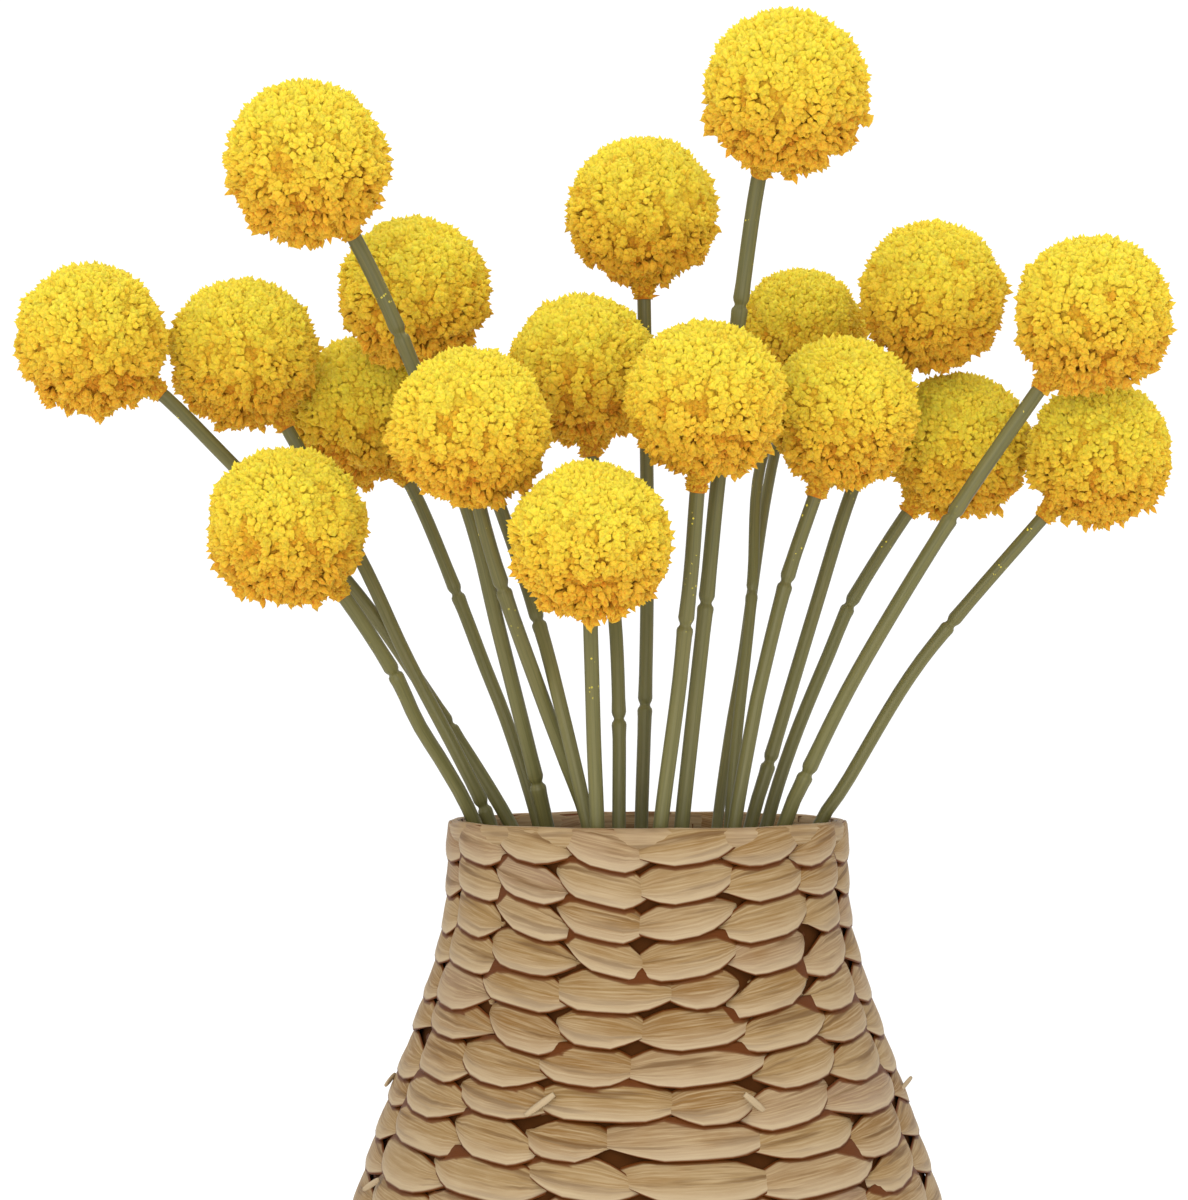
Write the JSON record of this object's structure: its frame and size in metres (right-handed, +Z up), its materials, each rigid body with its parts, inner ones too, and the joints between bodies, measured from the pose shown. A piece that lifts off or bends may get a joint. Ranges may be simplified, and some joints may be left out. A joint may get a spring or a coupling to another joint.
{
  "type": "billy button bunch in a woven vase",
  "caption": "Upright bunch of round yellow flower balls on jointed green stems, standing in a vase of twined plant strands with a narrow neck and a wide belly.",
  "frame": {"origin": "centre of the vase's flat underside", "axes": "+Z up along the vase's axis; the bunch is arranged to be seen from -Y, with +X to the viewer's right"},
  "size_m": [0.2297, 0.139, 0.3369],
  "materials": {
    "hyacinth_straw": "dry twined plant strands, matte",
    "stem_green": "satin olive green, streaked lengthwise",
    "floret_yellow": "matte crumbly florets"
  },
  "bodies": {
    "root": {"vase_wall": "hyacinth_straw", "vase_base": "hyacinth_straw", "stem_a": "stem_green", "stem_b": "stem_green", "stem_c": "stem_green", "stem_d": "stem_green", "stem_e": "stem_green", "stem_f": "stem_green", "stem_g": "stem_green", "stem_h": "stem_green", "stem_i": "stem_green", "stem_j": "stem_green", "stem_k": "stem_green", "stem_l": "stem_green", "stem_m": "stem_green", "stem_n": "stem_green", "stem_o": "stem_green", "stem_p": "stem_green", "stem_q": "stem_green", "stem_r": "stem_green", "stem_s": "stem_green", "ball_a": "floret_yellow", "ball_b": "floret_yellow", "ball_c": "floret_yellow", "ball_d": "floret_yellow", "ball_e": "floret_yellow", "ball_f": "floret_yellow", "ball_g": "floret_yellow", "ball_h": "floret_yellow", "ball_i": "floret_yellow", "ball_j": "floret_yellow", "ball_k": "floret_yellow", "ball_l": "floret_yellow", "ball_m": "floret_yellow", "ball_n": "floret_yellow", "ball_o": "floret_yellow", "ball_p": "floret_yellow", "ball_q": "floret_yellow", "ball_r": "floret_yellow", "ball_s": "floret_yellow"}
  },
  "joints": []
}
